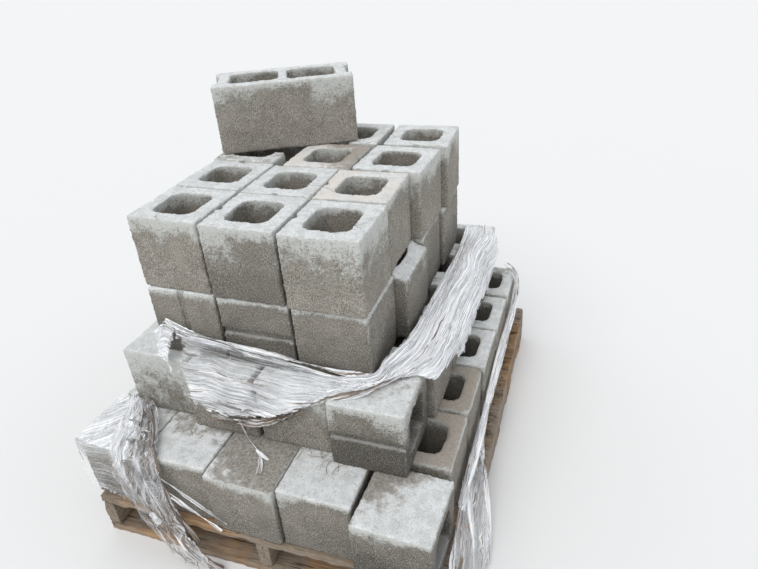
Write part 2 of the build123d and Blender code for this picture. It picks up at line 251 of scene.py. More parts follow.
LEFT_FRONT = [
    [(-525, -590, 337), (-526, -600, 300), (-526, -601, 250), (-526, -601, 205), (-525, -601, 152)],
    [(-480, -592, 338), (-478, -601, 300), (-476, -603, 250), (-474, -604, 200), (-470, -605, 144)],
    [(-430, -592, 338), (-428, -602, 300), (-424, -605, 250), (-418, -607, 200), (-410, -609, 140)],
    [(-380, -592, 338), (-376, -603, 300), (-370, -607, 250), (-362, -610, 200), (-352, -615, 125)],
    [(-320, -592, 338), (-316, -603, 300), (-308, -608, 250), (-300, -613, 195), (-292, -619, 118)],
    [(-265, -592, 338), (-262, -603, 300), (-256, -609, 255), (-252, -615, 200), (-246, -621, 130)],
]
LEFT_FALL = [
    [(-474, -404, 347), (-468, -404, 351), (-460, -404, 353), (-452, -404, 351), (-445, -404, 347)],
    [(-455, -455, 342), (-430, -458, 347), (-405, -460, 351), (-380, -460, 348), (-358, -460, 342)],
    [(-430, -525, 342), (-395, -530, 348), (-360, -532, 351), (-328, -532, 348), (-298, -530, 342)],
    [(-410, -588, 342), (-370, -590, 347), (-330, -592, 349), (-295, -592, 346), (-266, -586, 341)],
    [(-405, -605, 300), (-365, -613, 310), (-325, -617, 315), (-285, -617, 315), (-243, -609, 308)],
    [(-395, -609, 240), (-355, -619, 250), (-312, -625, 255), (-272, -625, 255), (-234, -615, 245)],
    [(-375, -615, 175), (-335, -625, 185), (-295, -631, 190), (-258, -631, 188), (-222, -623, 180)],
    [(-340, -621, 115), (-300, -633, 125), (-262, -641, 130), (-222, -641, 125), (-184, -633, 115)],
    [(-285, -629, 55), (-250, -641, 65), (-212, -649, 70), (-172, -649, 65), (-130, -641, 55)],
    [(-235, -633, 10), (-200, -646, 14), (-160, -653, 16), (-118, -653, 14), (-70, -641, 10)],
]
RIGHT_ROPE = [
    (479, -420, 196), (479, -330, 200), (480, -220, 207), (480, -70, 218), (481, 90, 228),
    (482, 250, 241), (485, 380, 262), (486, 470, 290), (484, 500, 336), (462, 508, 372),
    (442, 505, 390),
]
RIGHT_FAN = [
    [(480, -90, 216), (483, -88, 208), (486, -86, 200), (488, -84, 192)],
    [(480, -190, 212), (485, -185, 192), (492, -170, 170), (502, -150, 153)],
    [(479, -280, 210), (489, -268, 182), (510, -245, 152), (524, -215, 100)],
    [(479, -370, 207), (497, -350, 170), (518, -315, 127), (538, -255, 40)],
    [(479, -440, 201), (503, -415, 155), (530, -380, 92), (553, -300, 10)],
    [(481, -500, 186), (512, -475, 146), (542, -430, 62), (566, -350, 8)],
    [(485, -550, 163), (516, -530, 128), (548, -490, 42), (566, -420, 8)],
    [(502, -590, 147), (524, -575, 82), (550, -545, 24), (562, -490, 8)],
    [(520, -616, 92), (534, -604, 42), (552, -584, 14), (562, -560, 8)],
]

# Strands of film: route, half width, twist in radians, seed, points along it, soil and,
# where it isn't the usual one, flatness
UPPER_STRANDS = [
    ([(-130, -468, 398), (-60, -470, 396), (0, -470, 414), (60, -470, 446), (120, -470, 492),
      (180, -468, 530), (236, -440, 538), (280, -398, 540), (330, -340, 540), (372, -270, 536)],
      16, 7.0, 45, 300, 0.55),
    ([(-170, -467, 392), (-100, -469, 390), (-30, -470, 402), (40, -470, 430),
      (110, -470, 476)], 9, 6.0, 46, 200, 0.66),
    ([(-150, -467, 420), (-60, -469, 428), (20, -469, 452), (90, -468, 490), (150, -462, 528),
      (220, -424, 538), (268, -380, 545), (296, -330, 556), (306, -240, 560)],
      12, 9.0, 47, 300, 0.38),
    ([(-288, -410, 638), (-230, -405, 610), (-120, -404, 592), (0, -404, 578), (100, -404, 566),
      (200, -404, 560), (262, -392, 566)], 9, 8.0, 49, 300, 0.15),
    ([(-290, -414, 636), (-304, -424, 596), (-312, -430, 556), (-318, -428, 532)],
      9, 2.0, 50, 80, 0.1),
    ([(-80, -468, 400), (-76, -470, 372), (-58, -480, 342), (-24, -505, 338), (0, -535, 338),
      (11, -566, 337)], 8, 3.0, 41, 60, 0.5, 0.3),
    ([(-30, -500, 340), (-4, -512, 338), (16, -520, 337)], 5, 2.0, 43, 30, 0.1, 0.3),
]
LEFT_STRANDS = [
    ([(-462, -406, 354), (-400, -455, 352), (-345, -520, 354), (-300, -575, 352),
      (-270, -612, 318), (-256, -622, 260), (-240, -628, 195), (-216, -634, 140),
      (-184, -642, 85), (-146, -648, 32), (-112, -648, 14)], 16, 9.0, 85, 300, 0.8),
    ([(-466, -408, 354), (-415, -460, 352), (-375, -520, 354), (-335, -585, 352),
      (-312, -617, 318), (-292, -628, 250), (-268, -636, 185), (-240, -644, 130),
      (-204, -652, 80), (-172, -652, 36)], 9, 11.0, 87, 300, 0.2),
    ([(-464, -406, 354), (-385, -450, 353), (-325, -515, 355), (-282, -580, 352),
      (-256, -612, 316), (-244, -620, 262), (-228, -626, 200), (-200, -632, 145),
      (-166, -638, 95)], 7, 13.0, 88, 260, 0.7),
    ([(-467, -408, 353), (-430, -465, 351), (-398, -530, 353), (-368, -596, 350),
      (-350, -620, 300), (-332, -628, 235), (-306, -634, 165)], 7, 10.0, 90, 220, 0.66),
    ([(-468, -408, 352), (-442, -470, 350), (-420, -540, 350), (-394, -602, 338),
      (-372, -616, 290), (-348, -622, 230), (-318, -628, 170), (-290, -634, 122)],
      11, 8.0, 89, 240, 0.05),
    ([(-300, -590, 348), (-262, -613, 300), (-215, -613, 262), (-165, -613, 225),
      (-120, -613, 195), (-84, -613, 172)], 5, 5.0, 91, 160, 0.1, 0.3),
    ([(-258, -616, 250), (-205, -618, 215), (-150, -618, 180), (-104, -617, 142)],
      6, 4.0, 93, 120, 0.2, 0.3),
]
RIGHT_STRANDS = [
    ([(480, -300, 204), (496, -380, 166), (516, -440, 124), (530, -500, 78), (536, -560, 40)],
      9, 5.0, 121, 150, 0.1),
    ([(482, -200, 200), (508, -240, 152), (528, -290, 84), (548, -350, 30), (558, -430, 14)],
      8, 5.0, 123, 150, 0.3),
]


def maths(operation, swapped=False):
    """An operator of wires: a Math node on a wire and another wire or a number."""
    def result(self, other):
        pair = {0: other, 1: self} if swapped else {0: self, 1: other}
        return self.tree.add("ShaderNodeMath", pair, operation=operation)
    return result


class Wire:
    """A node's output. Sums with wires and numbers add Math nodes."""
    __add__ = maths("ADD")
    __radd__ = maths("ADD", swapped=True)
    __sub__ = maths("SUBTRACT")
    __rsub__ = maths("SUBTRACT", swapped=True)
    __mul__ = maths("MULTIPLY")
    __rmul__ = maths("MULTIPLY", swapped=True)
    __truediv__ = maths("DIVIDE")
    least = maths("MINIMUM")
    most = maths("MAXIMUM")

    def __init__(self, tree, socket):
        self.tree = tree
        self.socket = socket

    def __abs__(self):
        return self.tree.add("ShaderNodeMath", {0: self}, operation="ABSOLUTE")


class Tree:
    """Adds nodes to a shader or geometry tree. A socket is named, or numbered among the
    ones that the node's settings leave in use."""

    def __init__(self, tree):
        self.tree = tree

    def find(self, sockets, key):
        used = [s for s in sockets if s.enabled]
        if isinstance(key, int):
            return used[key]
        return next(s for s in used if s.name == key)

    def add(self, kind, sockets=None, output=0, **settings):
        node = self.tree.nodes.new(kind)
        for name, value in settings.items():
            setattr(node, name, value)
        for key, value in (sockets or {}).items():
            socket = self.find(node.inputs, key)
            if isinstance(value, Wire):
                self.tree.links.new(value.socket, socket)
            else:
                socket.default_value = value
        if not node.outputs:
            return None
        return Wire(self, self.find(node.outputs, output))

    def mix(self, factor, first, second):
        return self.add("ShaderNodeMix", {"Factor": factor, "A": first, "B": second},
                        "Result", data_type="RGBA")

    def rise(self, value, low, high):
        """0 below low, 1 above high and a smooth step between."""
        return self.add("ShaderNodeMapRange", {
            "Value": value, "From Min": low, "From Max": high},
            interpolation_type="SMOOTHSTEP")

    def noise(self, vector, scale, detail=4.0, roughness=0.55, distortion=0.0):
        return self.add("ShaderNodeTexNoise", {
            "Vector": vector, "Scale": scale, "Detail": detail, "Roughness": roughness,
            "Distortion": distortion})

    def vector(self, operation, *values):
        return self.add("ShaderNodeVectorMath", dict(enumerate(values)),
                        operation=operation)

    def stretch(self, vector, x, y, z):
        return self.vector("MULTIPLY", vector, (x, y, z))

    def scaled(self, vector, amount):
        return self.add("ShaderNodeVectorMath", {0: vector, "Scale": amount},
                        operation="SCALE")

    def parts(self, vector):
        """A vector's three numbers."""
        node = self.tree.nodes.new("ShaderNodeSeparateXYZ")
        self.tree.links.new(vector.socket, node.inputs[0])
        return [Wire(self, out) for out in node.outputs]

    def place(self):
        return self.add("ShaderNodeTexCoord", output="Object")

    def attribute(self, name, output="Fac"):
        return self.add("ShaderNodeAttribute", output=output, attribute_name=name)

    def named(self, name, kind="FLOAT"):
        """A mesh's attribute, in a geometry tree."""
        return self.add("GeometryNodeInputNamedAttribute", {"Name": name}, data_type=kind)

    def on_points(self, points, instance, **sockets):
        """A mesh set on each point."""
        sockets.update({"Points": points, "Instance": instance})
        copies = self.add("GeometryNodeInstanceOnPoints", sockets)
        return self.add("GeometryNodeRealizeInstances", {"Geometry": copies})

    def inward(self, place, loops):
        """How far a mesh's points are drawn in where it is blurred."""
        blurred = self.add("GeometryNodeBlurAttribute", {"Value": place, "Iterations": loops},
                           data_type="FLOAT_VECTOR")
        return self.vector("SUBTRACT", blurred, place)

    def moved(self, solid, offset):
        return self.add("GeometryNodeSetPosition", {"Geometry": solid, "Offset": offset})


def rgb(red, green, blue):
    """A colour as seen, 0 to 255, for a shader."""
    def straight(c):
        c = c / 255
        return c / 12.92 if c <= 0.04045 else ((c + 0.055) / 1.055) ** 2.4
    return (straight(red), straight(green), straight(blue), 1.0)


def new_material(name):
    material = bpy.data.materials.new(name)
    material.use_nodes = True
    material.node_tree.nodes.clear()
    return material, Tree(material.node_tree)


def finish_material(shade, color, roughness, bump=None, alpha=1.0):
    """Bump is its strength, its distance and a wire for its height."""
    sockets = {"Base Color": color, "Roughness": roughness, "Alpha": alpha}
    if bump:
        sockets["Normal"] = shade.add("ShaderNodeBump", dict(
            zip(("Strength", "Distance", "Height"), bump)))
    surface = shade.add("ShaderNodeBsdfPrincipled", sockets)
    shade.add("ShaderNodeOutputMaterial", {"Surface": surface})


def concrete_material():
    """Pressed concrete: grey-brown and grained, whitened from the upper edges down, with
    painted shade low on the sides and along the backs of the tops.
    """
    material, shade = new_material("weathered_concrete")
    mix, rise, noise = shade.mix, shade.rise, shade.noise
    place = shade.place()
    heading, tint, warm, frosty, damp, arris, span = (
        shade.attribute(name)
        for name in ("heading", "tint", "warm", "frosty", "damp", "arris", "span"))
    lean_right, lean_back, dirt_and_shade_share = shade.parts(shade.attribute("dirt", "Vector"))
    away = shade.vector("SUBTRACT", place, shade.attribute("centre", "Vector"))
    right, back, up = shade.parts(shade.add(
        "ShaderNodeVectorRotate", {"Vector": away, "Angle": 0 - heading},
        rotation_type="Z_AXIS"))
    normal = shade.add("ShaderNodeNewGeometry", output="Normal")
    facing_up = rise(shade.parts(normal)[2], 0.5, 0.85)
    half = HALF * MM
    drop = half - up

    broad = noise(place, 5.5, 2.0)
    coarse = noise(place, 13.0, 3.0)
    medium = noise(place, 38.0, 5.0, 0.6)
    fine = noise(place, 170.0, 4.0, 0.7)
    grains = noise(place, 480.0, 3.0, 0.75)
    dashes = noise(shade.stretch(place, 1.0, 1.0, 0.38), 560.0, 3.0, 0.75)

    # The sides, darker where damp, and with painted shade that deepens towards their foot
    tone = 0.40 * coarse + 0.35 * medium + 0.25 * broad + 0.03 * tint
    side = mix(rise(tone, 0.40, 0.62), rgb(136, 129, 119), rgb(159, 152, 142))
    # Damp and painted shade in one share, darker towards a block's foot
    wet_and_shaded = damp * (0.55 - 0.35 * rise(up + 0.10 * (coarse - 0.5), -0.08, 0.07))
    side = mix(wet_and_shaded, side, rgb(78, 73, 66))
    bright = (0.82 - 0.40 * wet_and_shaded.least(1.0)) * rise(dashes, 0.50, 0.66)
    side = mix(bright, side, rgb(198, 196, 188))
    side = mix(0.82 * (1 - rise(dashes, 0.36, 0.49)), side,
               mix(wet_and_shaded, rgb(88, 84, 75), rgb(60, 56, 50)))

    # The white that runs down from the upper edges, and less far on the cores' walls
    beside = (span - abs(right)).most(half - abs(back))
    near_arris = 1 - rise(beside, 0.0, 0.030)
    inner = rise((span - abs(right)).least(half - abs(back)), 0.012, 0.026)
    reach = 0.006 + frosty * (0.021 + 0.080 * rise(broad, 0.42, 0.64)
                              + 0.050 * near_arris * rise(coarse, 0.40, 0.60))
    reach = reach + 0.045 * (frosty - 1.5).most(0.0) * rise(coarse, 0.46, 0.58)
    reach = reach.least(0.085 + 0.03 * (frosty - 2.0).most(0.0))
    reach = reach * (1 - inner) + inner * (0.012 + 0.030 * rise(coarse, 0.40, 0.62))
    crumbs = 2.6 * (grains - 0.5) + 2.0 * (fine - 0.5) + 1.4 * (dashes - 0.5)
    depth = drop / reach + crumbs + 1.8 * (medium - 0.5)
    frost = 1 - rise(depth, 0.25, 1.05)
    below = (1 - rise(depth, 0.9, 1.8)) * (1 - frost)
    side = mix(0.30 * below, side, rgb(102, 100, 89))
    side = mix(0.80 * frost, side, rgb(206, 208, 204))
    scuffed = rise(arris, 0.35, 0.95) * rise(medium + 0.8 * (fine - 0.5), 0.46, 0.64)
    scuffed = scuffed * (0.35 + 0.65 * rise(up, -0.02, 0.08))
    side = mix(0.65 * scuffed, side, rgb(206, 206, 201))

    # The tops: white, some of them cream, with dirt that leans to one side; leaning towards
    # the tier above, it also paints that tier's shade along the back
    top = mix(rise(medium, 0.38, 0.64), rgb(232, 234, 234), rgb(212, 214, 213))
    top = mix(0.60 * rise(dashes, 0.50, 0.62), top, rgb(172, 173, 170))
    top = mix(0.45 * (1 - rise(fine, 0.36, 0.47)), top, rgb(158, 156, 149))
    cream = 0.60 * warm * (0.25 + 0.75 * rise(coarse, 0.38, 0.56))
    top = mix(cream, top, rgb(226, 214, 201))
    # Dirt and painted shade: its lean darkens the side of a top where the tier above stands
    lean = (right * lean_right + back * lean_back) / half
    dirt_and_shade_mask = rise(dirt_and_shade_share + 0.42 * lean + 0.8 * (medium - 0.5) + 0.8 * (coarse - 0.5)
                 + 0.7 * (fine - 0.5), 0.36, 0.62)
    mud_and_shade = mix(rise(fine + 0.6 * (dashes - 0.5), 0.42, 0.58), rgb(108, 101, 91),
              rgb(158, 150, 139))
    mud_and_shade = mix(0.50 * warm, mud_and_shade, rgb(166, 154, 140))
    top = mix(0.84 * dirt_and_shade_mask, top, mud_and_shade)
    color = mix(facing_up * (0.30 + 0.70 * rise(up, 0.03, 0.07)), side, top)

    # Hairline cracks across the upper tops, and pits all over
    wobble = shade.add("ShaderNodeTexNoise", {"Vector": place, "Scale": 60.0}, "Color")
    bent = shade.vector("MULTIPLY_ADD", wobble, (0.012, 0.012, 0.012), place)
    seams = shade.add("ShaderNodeTexVoronoi", {"Vector": bent, "Scale": 8.0}, "Distance",
                      feature="DISTANCE_TO_EDGE")
    crack = (1 - rise(seams, 0.003, 0.010)) * rise(broad, 0.57, 0.60) * facing_up
    crack = crack * rise(shade.parts(place)[2], 0.85, 0.90)
    color = mix(0.55 * crack, color, rgb(104, 100, 92))
    pits = shade.add("ShaderNodeTexVoronoi", {"Vector": place, "Scale": 210.0}, "Distance",
                     feature="F1")
    pit = (1 - rise(pits, 0.14, 0.40)) * rise(fine, 0.50, 0.60)
    color = mix(0.60 * pit * (1 - 0.5 * facing_up), color, rgb(70, 66, 58))

    relief = 0.8 * fine + 0.6 * grains + 0.7 * dashes - 0.9 * pit - 0.6 * crack
    finish_material(shade, color, 0.88, (0.7, 0.0022, relief))
    return material


def wood_material(name, grain):
    """Sawn softwood gone grey and brown outdoors, with its grain along one axis."""
    material, shade = new_material(name)
    mix, rise, noise = shade.mix, shade.rise, shade.noise
    place = shade.place()
    long = shade.stretch(place, *grain)
    rings = noise(long, 34.0, 4.0, 0.6, 0.9)
    fibres = noise(long, 230.0, 3.0, 0.7)
    checks = noise(shade.stretch(long, 0.6, 0.6, 0.6), 190.0, 2.0, 0.5)
    patches = noise(place, 6.0, 4.0)
    color = mix(rise(rings, 0.38, 0.62), rgb(116, 90, 66), rgb(166, 135, 102))
    silver = mix(rise(fibres, 0.40, 0.60), rgb(106, 98, 88), rgb(148, 139, 126))
    color = mix(0.80 * rise(patches, 0.42, 0.58), color, silver)
    color = mix(0.55 * rise(fibres, 0.56, 0.70), color, rgb(78, 60, 44))
    check = 1 - rise(checks, 0.30, 0.36)
    color = mix(0.85 * check, color, rgb(44, 34, 26))
    finish_material(shade, color, 0.80, (0.6, 0.002, rings + 0.7 * fibres - 1.5 * check))
    return material


def film_material():
    """Stretch film: many thin wrinkled layers, part clear, part milky with a painted sheen
    along its strands, and soiled.
    """
    material, shade = new_material("torn_stretch_film")
    rise = shade.rise
    along, across, _ = shade.parts(shade.attribute("weave", "Vector"))
    gather, soil, margin = (shade.attribute(name) for name in ("gather", "soil", "margin"))
    flat = shade.add("ShaderNodeCombineXYZ", {0: along, 1: across, 2: 0.0})

    def drawn_out(along, across, *look):
        return shade.noise(shade.stretch(flat, along, across, 1.0), 1.0, *look)

    strands = drawn_out(2.4, 150.0, 4.0, 0.62, 0.4)
    hairs = drawn_out(7.0, 480.0, 3.0, 0.65, 0.3)
    folds = drawn_out(4.0, 34.0, 3.0, 0.55, 0.8)
    patches = drawn_out(8.0, 14.0, 3.0)
    body = rise(gather + 1.5 * (patches - 0.5), 0.0, 0.85)
    # Milky film and painted sheen: the pure white on the strands also stands for their glints
    bright = rise(strands, 0.49, 0.56) * (0.25 + 0.75 * body)
    hair = rise(hairs, 0.52, 0.60) * (0.25 + 0.45 * body)
    bank = rise(folds, 0.50, 0.60) * body
    milky_and_sheen = 1 - (1 - bright) * (1 - hair) * (1 - 0.5 * bank)
    smear = rise(soil + 1.5 * (folds - 0.5) + 2.4 * (strands - 0.5), 0.46, 0.60)
    color = shade.mix(milky_and_sheen, rgb(238, 241, 246), rgb(255, 255, 255))
    color = shade.mix(0.94 * smear, color, rgb(102, 84, 66))
    frayed = rise(margin + 1.6 * (strands - 0.5) + 1.0 * (hairs - 0.5), 0.15, 0.55)
    alpha = frayed * (0.03 + 0.34 * body + 0.75 * milky_and_sheen + 0.55 * smear)
    finish_material(shade, color, 0.30, (0.5, 0.003, folds + 0.7 * strands + 0.2 * hairs),
                    alpha)
    return material


def plain_finish(name, color, roughness):
    """A dull finish with a little unevenness, for the small things."""
    material, shade = new_material(name)
    spots = shade.noise(shade.place(), 120.0, 3.0)
    dark = tuple(0.5 * c for c in color[:3]) + (1.0,)
    finish_material(shade, shade.mix(shade.rise(spots, 0.40, 0.60), color, dark), roughness)
    return material


CONCRETE = concrete_material()
BOARD_WOOD = wood_material("weathered_boards", (0.06, 1.0, 1.0))
STRINGER_WOOD = wood_material("weathered_stringers", (1.0, 0.06, 1.0))
FILM = film_material()
RUST = plain_finish("rusty_nails", rgb(104, 74, 56), 0.7)
STRAW = plain_finish("dry_stems", rgb(150, 126, 98), 0.8)


def link(name, data):
    piece = bpy.data.objects.new(name, data)
    bpy.context.scene.collection.objects.link(piece)
    return piece


def new_piece(name, points, edges=(), faces=()):
    mesh = bpy.data.meshes.new(name)
    mesh.from_pydata(points, edges, faces)
    return link(name, mesh)


def add_attribute(piece, label, values):
    """Gives each point of a piece a number or a vector."""
    values = np.array(values)
    kind, key = ("INT" if values.dtype.kind == "i" else "FLOAT"), "value"
    if values.ndim > 1:
        kind, key = "FLOAT_VECTOR", "vector"
    attribute = piece.data.attributes.new(label, kind, "POINT")
    attribute.data.foreach_set(key, values.ravel())


def smooth(piece, sharp_degrees):
    piece.data.shade_smooth()
    piece.data.set_sharp_from_angle(angle=radians(sharp_degrees))


def plain_mesh(piece):
    """Turns a piece and its modifiers into a plain mesh."""
    depsgraph = bpy.context.evaluated_depsgraph_get()
    made = bpy.data.meshes.new_from_object(
        piece.evaluated_get(depsgraph), preserve_all_data_layers=True, depsgraph=depsgraph)
    piece.modifiers.clear()
    piece.data = made
    made.name = piece.name


def rounded_rectangle(width, depth, radius, x=0.0):
    points = []
    for sx, sy, start in ((1, 1, 0), (-1, 1, 90), (-1, -1, 180), (1, -1, 270)):
        for step in range(CORNER_POINTS):
            a = radians(start + 90 * step / (CORNER_POINTS - 1))
            points.append((x + sx * (width / 2 - radius) + radius * cos(a),
                           sy * (depth / 2 - radius) + radius * sin(a)))
    return points


def prism(name, outline, cores=(), reach=HALF):
    """A closed upright mesh, as far down as up: an outline less its cores, which widen
    downwards."""
    mesh = bmesh.new()
    rings = []
    for z, spread in ((-reach, CORE_FLARE), (reach, 0.0)):
        loops = [outline] + [rounded_rectangle(width + spread, depth + spread, radius, x)
                             for width, depth, radius, x in cores]
        level = [[mesh.verts.new((px * MM, py * MM, z * MM)) for px, py in loop]
                 for loop in loops]
        edges = [mesh.edges.new((a, b)) for ring in level
                 for a, b in zip(ring, ring[1:] + ring[:1])]
        bmesh.ops.triangle_fill(mesh, edges=edges, use_beauty=True)
        rings.append(level)
    for low, high in zip(*rings):
        for i in range(len(low)):
            j = (i + 1) % len(low)
            mesh.faces.new((low[i], low[j], high[j], high[i]))
    bmesh.ops.recalc_face_normals(mesh, faces=mesh.faces)
    made = bpy.data.meshes.new(name)
    mesh.to_mesh(made)
    mesh.free()
    return made


def cut(piece, mesh):
    """Takes another solid out of a piece."""
    cutter = link("cutter", mesh)
    modifier = piece.modifiers.new("cut", "BOOLEAN")
    modifier.operation = "DIFFERENCE"
    modifier.solver = "EXACT"
    modifier.object = cutter
    plain_mesh(piece)
    bpy.data.objects.remove(cutter)


def block_outline(grooved=False):
    points = [(-HALF, HALF), (-HALF, -HALF)]
    if grooved:
        width, depth = GROOVE
        points += [(-width / 2, -HALF), (-width / 2, depth - HALF),
                   (width / 2, depth - HALF), (width / 2, -HALF)]
    return points + [(HALF, -HALF), (HALF, HALF)]


def nosed_outline():
    """A square whose two right corners are rounded."""
    ring = rounded_rectangle(BLOCK, BLOCK, NOSE_RADIUS)
    return ring[-CORNER_POINTS:] + ring[:CORNER_POINTS] + [(-HALF, HALF), (-HALF, -HALF)]


def full_outline():
    wide, deep, narrow = END_HOLLOW
    end = FULL_LENGTH / 2
    right = [(end, -HALF), (end, -wide / 2), (end - deep, -narrow / 2),
             (end - deep, narrow / 2), (end, wide / 2), (end, HALF)]
    return right + [(-x, -y) for x, y in right]


def build_kinds():
    """One block of each kind, meshed finely enough to be worn."""
    collection = bpy.data.collections.new("block_kinds")
    bpy.context.scene.collection.children.link(collection)
    core = CORE + (0.0,)
    reach = (FULL_CORE[0] + MIDDLE_WEB) / 2
    shapes = {
        "plain": (block_outline(), [core]),
        "sash": (block_outline(grooved=True), [core]),
        "bullnose": (nosed_outline(), [core]),
        "broken": (block_outline(grooved=True), [core]),
        "chipped": (block_outline(), [core]),
        "inner": (block_outline(), [(CORE[0], CORE[1], 1.0, 0.0)]),
        "full": (full_outline(), [FULL_CORE + (-reach,), FULL_CORE + (reach,)]),
    }
    for number, kind in enumerate(KINDS):
        piece = bpy.data.objects.new(f"kind_{number}_{kind}", prism(kind, *shapes[kind]))
        collection.objects.link(piece)
        if kind == "broken":
            crack = [(-PAST, 0.50 * BLOCK), (-0.31 * BLOCK, 0.47 * BLOCK),
                     (-0.27 * BLOCK, 0.30 * BLOCK), (0.05 * BLOCK, 0.08 * BLOCK),
                     (0.36 * BLOCK, -0.04 * BLOCK), (PAST, -0.08 * BLOCK), (PAST, PAST),
                     (-PAST, PAST)]
            cut(piece, prism("crack", crack, reach=PAST))
        if kind == "chipped":
            chip = [(0.30 * BLOCK, PAST), (0.32 * BLOCK, 0.46 * BLOCK),
                    (0.44 * BLOCK, 0.42 * BLOCK), (PAST, 0.40 * BLOCK), (PAST, PAST)]
            slab = prism("chip", chip, reach=PAST)
            slab.transform(Matrix.Rotation(radians(90), 4, "X"))
            cut(piece, slab)
        if kind != "inner":
            modifier = piece.modifiers.new("voxels", "REMESH")
            modifier.mode = "VOXEL"
            modifier.voxel_size = VOXEL * MM
            plain_mesh(piece)
        add_attribute(piece, "worn", [float(kind != "inner")] * len(piece.data.vertices))
    return collection


def geometry_tree(name, finish, inputs):
    """An empty Geometry Nodes tree, its wires in, and a call that sets its output in the
    material."""
    group = bpy.data.node_groups.new(name, "GeometryNodeTree")
    group.interface.new_socket("Geometry", in_out="INPUT", socket_type="NodeSocketGeometry")
    for label, kind, value in inputs + [("Finish", "Material", finish)]:
        socket = group.interface.new_socket(label, in_out="INPUT",
                                            socket_type=f"NodeSocket{kind}")
        socket.default_value = value
    group.interface.new_socket("Geometry", in_out="OUTPUT", socket_type="NodeSocketGeometry")
    grow = Tree(group)
    entry = group.nodes.new("NodeGroupInput")
    wires = {out.name: Wire(grow, out) for out in entry.outputs if out.name}
    exit_node = group.nodes.new("NodeGroupOutput")

    def end(solid):
        finished = grow.add("GeometryNodeSetMaterial", {"Geometry": solid,
                                                        "Material": wires["Finish"]})
        group.links.new(finished.socket, exit_node.inputs[0])
    return group, grow, wires, end


def grown(piece, group, values=None, ratio=1.0):
    """Turns a piece into the plain mesh that a Geometry Nodes tree makes of it."""
    modifier = piece.modifiers.new("grown", "NODES")
    modifier.node_group = group
    for item in group.interface.items_tree:
        if item.in_out == "INPUT" and item.name in (values or {}):
            modifier[item.identifier] = values[item.name]
    if ratio < 1:
        thinned = piece.modifiers.new("thinned", "DECIMATE")
        thinned.ratio = ratio
    plain_mesh(piece)


def block_tree(kinds):
    """Sets blocks of several kinds on points, and wears and chips their edges."""
    group, grow, wires, end = geometry_tree("worn_blocks", CONCRETE, [
        ("Kinds", "Collection", kinds),
        ("Wear", "Float", 0.9),
        ("Chips", "Float", 0.75),
        ("Crumbs", "Float", 0.009),
        ("Seed", "Float", 0.0),
    ])
    choices = grow.add("GeometryNodeCollectionInfo", {
        "Collection": wires["Kinds"], "Separate Children": True, "Reset Children": True})
    rotation = grow.add("FunctionNodeEulerToRotation", {0: grow.named("turn", "FLOAT_VECTOR")})
    solid = grow.on_points(wires["Geometry"], choices, **{
        "Pick Instance": True, "Instance Index": grow.named("kind", "INT"),
        "Rotation": rotation})
    worn = grow.named("worn")
    place = grow.add("GeometryNodeInputPosition")
    size = grow.add("ShaderNodeVectorMath", {0: grow.inward(place, WEAR_LOOPS)}, "Value",
                    operation="LENGTH")
    solid = grow.add("GeometryNodeStoreNamedAttribute", {
        "Geometry": solid, "Name": "arris", "Value": size * ARRIS_SCALE},
        data_type="FLOAT", domain="POINT")
    for loops, scale, low, high, amount in (
            (WEAR_LOOPS, 55.0, 0.34, 0.68, wires["Wear"]),
            (CHIP_LOOPS, 17.0, 0.54, 0.70, wires["Chips"])):
        noise = 0.65 * grow.noise(place, scale + wires["Seed"], 3.0, 0.6) + 0.35 * grow.noise(
            place, 3 * scale, 2.0, 0.6)
        share = worn * amount * grow.rise(noise, low, high)
        solid = grow.moved(solid, grow.scaled(grow.inward(place, loops), share))
    ripple = grow.noise(place, 125.0 + wires["Seed"], 2.0, 0.7) - 0.53
    push = worn * wires["Crumbs"] * ripple * grow.rise(grow.named("arris"), 0.15, 0.75)
    end(grow.moved(solid, grow.scaled(grow.add("GeometryNodeInputNormal"), push)))
    return group


def spot(tier, row, column):
    """A block's front left corner and its turn."""
    left, front = TIERS[tier]["corner"]
    joint_x, joint_y = TIERS[tier]["joints"]
    right, back, turn = SHIFTS[tier].get((row, column), (0, 0, 0))
    x = left + (column - 1) * (BLOCK + joint_x) + right
    y = front + (row - 1) * (BLOCK + joint_y) + back
    return x, y, turn


def middle_of(x, y, turn, length, depth):
    """The plan centre of a block that is turned about its front left corner."""
    a = radians(turn)
    return (x + (length * cos(a) - depth * sin(a)) / 2,
            y + (length * sin(a) + depth * cos(a)) / 2)


def tier_foot(tier):
    return DECK_TOP + list(TIERS).index(tier) * BLOCK


def block_entry(tier, row, column, random):
    """A block's kind, centre, turn, heading, weathering and painted shade, for the node trees."""
    entry = {**TIERS[tier], "warm": 0.0, **BLOCKS[tier].get((row, column), {})}
    columns, rows = entry["count"]
    wide_tier = tier in ("bottom_tier", "second_tier")
    kind, tip, groove = "plain", 0, 0
    if wide_tier and 1 < row < rows and 1 < column < columns:
        kind = "inner"
    if (wide_tier and row == 1) or (tier, row, column) == ("third_tier", 1, 2):
        tip = 90
    if (tier, row) == ("third_tier", 1) and column < 3:
        kind = "sash"
    if tier == "top_tier":
        kind, groove = "sash", GROOVE_TURNS.get((row, column), 0)
    x, y, turn = spot(tier, row, column)
    centre = (*middle_of(x, y, turn, BLOCK, BLOCK), tier_foot(tier) + HALF)
    entry.update(kind=KINDS.index(entry.get("kind", kind)), centre=Vector(centre) * MM,
                 turn=(0, radians(tip), radians(turn + groove)), heading=radians(turn),
                 span=HALF * MM, tint=float(random.uniform(-1, 1)))
    return entry


def dress_blocks(node, group, entries):
    """Replaces a CAD node of blocks by worn ones in the same places."""
    piece = new_piece(f"worn_{node}", [entry["centre"] for entry in entries])
    for label in ("kind", "turn", "heading", "tint", "warm", "frosty", "damp", "span",
                  "centre", "dirt"):
        add_attribute(piece, label, [entry[label] for entry in entries])
    grown(piece, group, ratio=KEPT)
    smooth(piece, SHARP_CONCRETE)
    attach(piece, "root")
    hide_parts(node)


